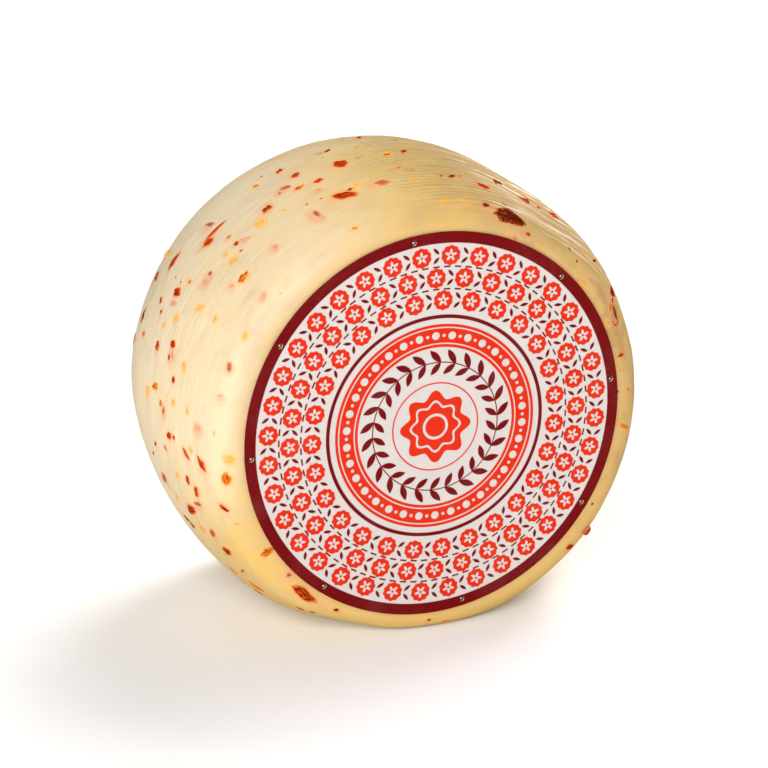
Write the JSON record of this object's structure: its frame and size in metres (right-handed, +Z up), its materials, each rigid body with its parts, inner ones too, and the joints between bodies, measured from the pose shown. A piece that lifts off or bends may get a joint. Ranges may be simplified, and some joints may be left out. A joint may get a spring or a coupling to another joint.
{
  "type": "whole cheese wheel",
  "caption": "Whole wheel of chilli-flecked fresh cheese with bulging sides, standing on edge, and a round paper label on one face.",
  "frame": {"origin": "on the floor below the middle of the wheel, which stands on edge", "axes": "+Z up, Y along the wheel's own axis with the labelled face towards -Y, X along the floor across the face"},
  "size_m": [0.1805, 0.1003, 0.1706],
  "materials": {
    "cheese": "satin",
    "label_paper": "matte"
  },
  "bodies": {
    "root": {"cheese_wheel": "cheese", "paper_label": "label_paper"}
  },
  "joints": []
}
